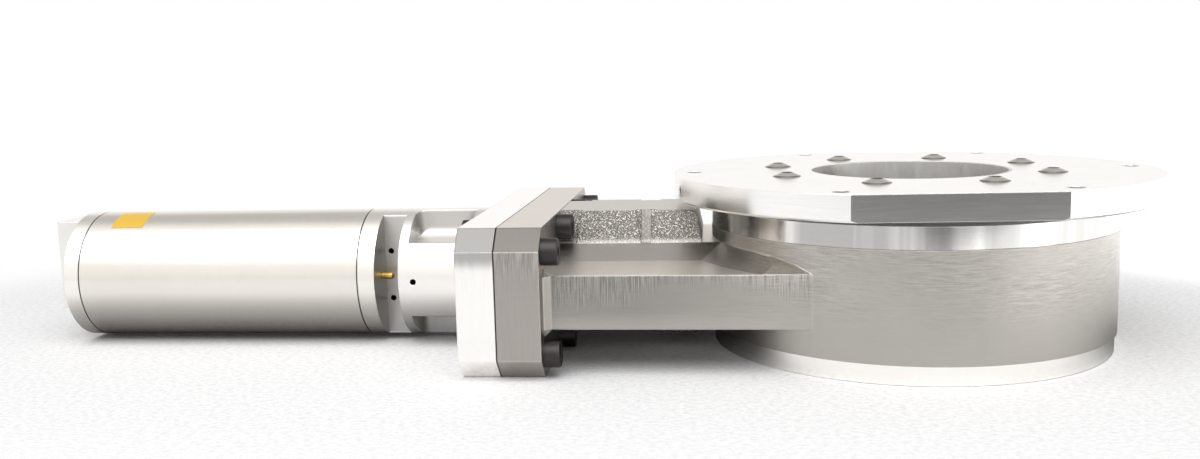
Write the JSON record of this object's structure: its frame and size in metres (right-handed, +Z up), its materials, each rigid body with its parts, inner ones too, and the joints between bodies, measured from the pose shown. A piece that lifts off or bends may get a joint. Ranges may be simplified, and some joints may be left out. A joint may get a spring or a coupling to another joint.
{
  "type": "pneumatic gate valve",
  "caption": "Flat gate valve with a round port body, adapter plate and neck; an in-line air cylinder slides the gate across the port and back.",
  "frame": {"origin": "centre of the port bore in the lower port face", "axes": "+Z up along the port bore, +X away from the air cylinder along the stem, +Y across the neck"},
  "size_m": [0.591, 0.2296, 0.0907],
  "materials": {
    "cast_aluminium": "satin cast and brushed",
    "ground_aluminium": "ground, fine vertical grain",
    "turned_aluminium": "turned, bright",
    "plate_aluminium": "fine brushed, bright",
    "dark_aluminium": "matt",
    "barrel_aluminium": "clear anodised, satin",
    "seal_rubber": "matt black",
    "bumper_rubber": "matt black",
    "stainless_screws": "bright rolled steel",
    "black_screws": "black oxide",
    "bearing_bronze": "bronze",
    "brass_screw": "bright brass",
    "yellow_label": "blank printed film",
    "stem_steel": "hard chromed, ground",
    "piston_aluminium": "turned",
    "wear_plastic": "filled plastic",
    "nut_steel": "zinc plated",
    "carriage_steel": "milled",
    "gate_aluminium": "turned"
  },
  "bodies": {
    "valve": {"valve_body": "cast_aluminium", "neck_flange": "ground_aluminium", "top_port_ring": "turned_aluminium", "lower_port_ring": "turned_aluminium", "spacer_ring": "dark_aluminium", "port_seal": "seal_rubber", "adapter_plate": "plate_aluminium", "adapter_screws": "stainless_screws", "bonnet_plate": "plate_aluminium", "bonnet_seal": "seal_rubber", "bonnet_screws": "black_screws", "stem_gland": "bearing_bronze", "gland_seal": "seal_rubber", "yoke": "turned_aluminium", "yoke_screws": "black_screws", "front_head": "turned_aluminium", "head_bushing": "bearing_bronze", "rod_seal": "seal_rubber", "head_seal": "seal_rubber", "front_bumper": "bumper_rubber", "barrel": "barrel_aluminium", "rear_cap": "turned_aluminium", "cap_seal": "seal_rubber", "rear_bumper": "bumper_rubber", "port_block": "turned_aluminium", "block_screws": "black_screws", "label_plate": "yellow_label"},
    "shuttle": {"stem": "stem_steel", "piston": "piston_aluminium", "piston_seal": "seal_rubber", "wear_ring": "wear_plastic", "piston_nut": "nut_steel", "carriage": "carriage_steel", "guide_pins": "nut_steel"},
    "gate": {"gate_disc": "gate_aluminium", "gate_seal": "seal_rubber"},
    "counter": {"counter_disc": "gate_aluminium"},
    "flow_control": {"flow_screw": "brass_screw"}
  },
  "joints": [
    {"name": "gate_stroke", "type": "slide", "parent": "valve", "child": "shuttle", "axis": [1, 0, 0], "range_m": [0, 0.116]},
    {"name": "gate_lift", "type": "slide", "parent": "shuttle", "child": "gate", "axis": [0, 0, 1], "range_m": [0, 0.001], "stiffness_N_per_m": 2000},
    {"name": "counter_drop", "type": "slide", "parent": "shuttle", "child": "counter", "axis": [0, 0, -1], "range_m": [0, 0.001]},
    {"name": "flow_adjust", "type": "hinge", "parent": "valve", "child": "flow_control", "pos_m": [-0.2807, -0.02, 0.037], "axis": [1, 0, 0], "continuous": true}
  ],
  "couplings": [
    {"joint": "counter_drop", "follows": "gate_lift", "ratio": 1}
  ]
}
